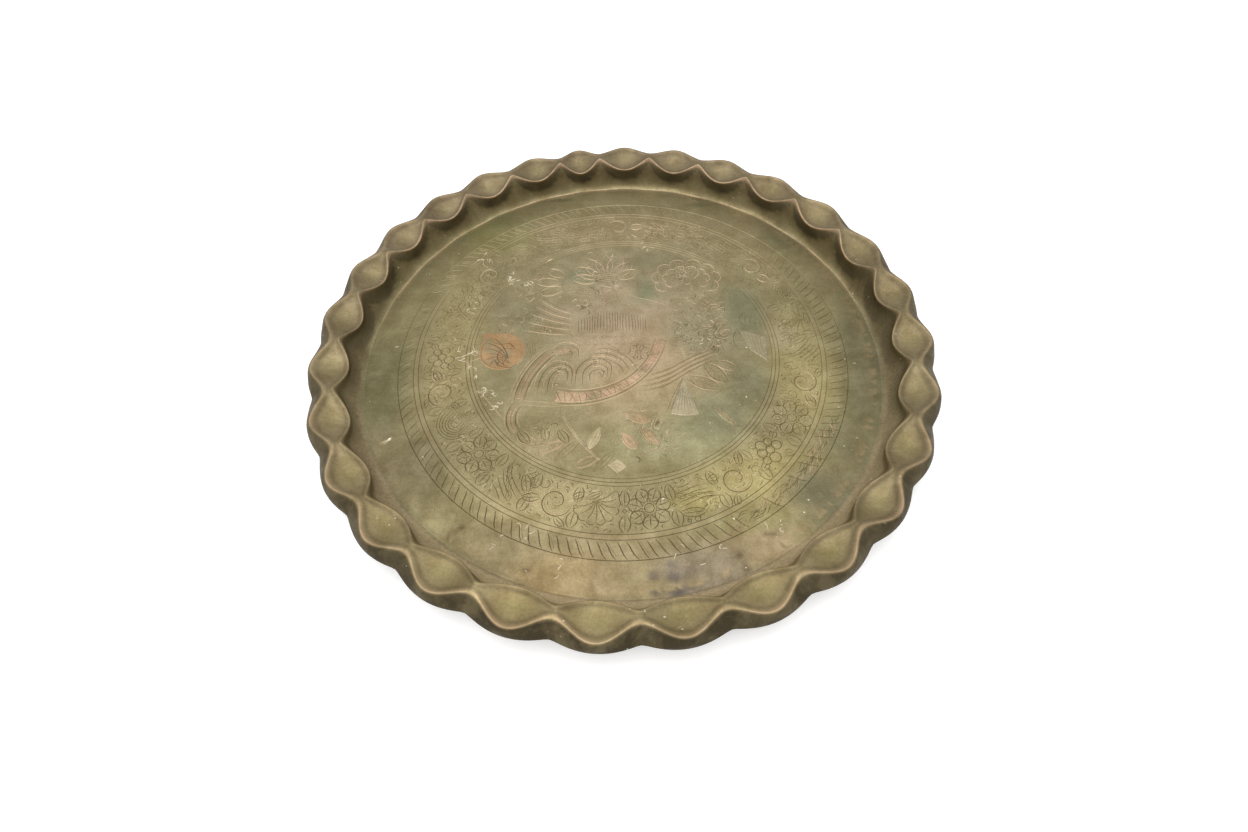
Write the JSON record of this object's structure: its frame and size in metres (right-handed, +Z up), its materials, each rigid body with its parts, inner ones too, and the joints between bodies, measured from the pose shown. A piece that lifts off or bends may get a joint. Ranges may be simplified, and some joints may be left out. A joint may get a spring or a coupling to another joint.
{
  "type": "paten plate",
  "caption": "Round shallow brass tray with a fluted rim of almond-shaped panels, a turned-down edge, an engraved floor and small flush copper and silver-coloured inlays.",
  "frame": {"origin": "centre of the flat underside", "axes": "+Z up, square to the floor; -Y towards the front; +X to the right"},
  "size_m": [0.3037, 0.3042, 0.0184],
  "materials": {
    "tray_brass": "old tarnished brass, satin, olive brown in the hollows and worn tan on the ridges",
    "inlay_copper": null,
    "inlay_silver": "dull silver-coloured sheet, satin, slightly yellowed"
  },
  "bodies": {
    "root": {"dish": "tray_brass", "sash_tail": "inlay_copper", "sash_middle": "inlay_copper", "sash_head": "inlay_copper", "petal_patch": "inlay_copper", "ribbon_upper": "inlay_copper", "ribbon_lower": "inlay_copper", "ribbon_tip": "inlay_copper", "bloom_left": "inlay_copper", "bloom_right": "inlay_copper", "bloom_top": "inlay_copper", "twig": "inlay_copper", "fan_leaf": "inlay_silver", "wedge_leaf": "inlay_silver", "slim_leaf": "inlay_silver", "bud": "inlay_silver", "twig_leaf": "inlay_silver"}
  },
  "joints": []
}
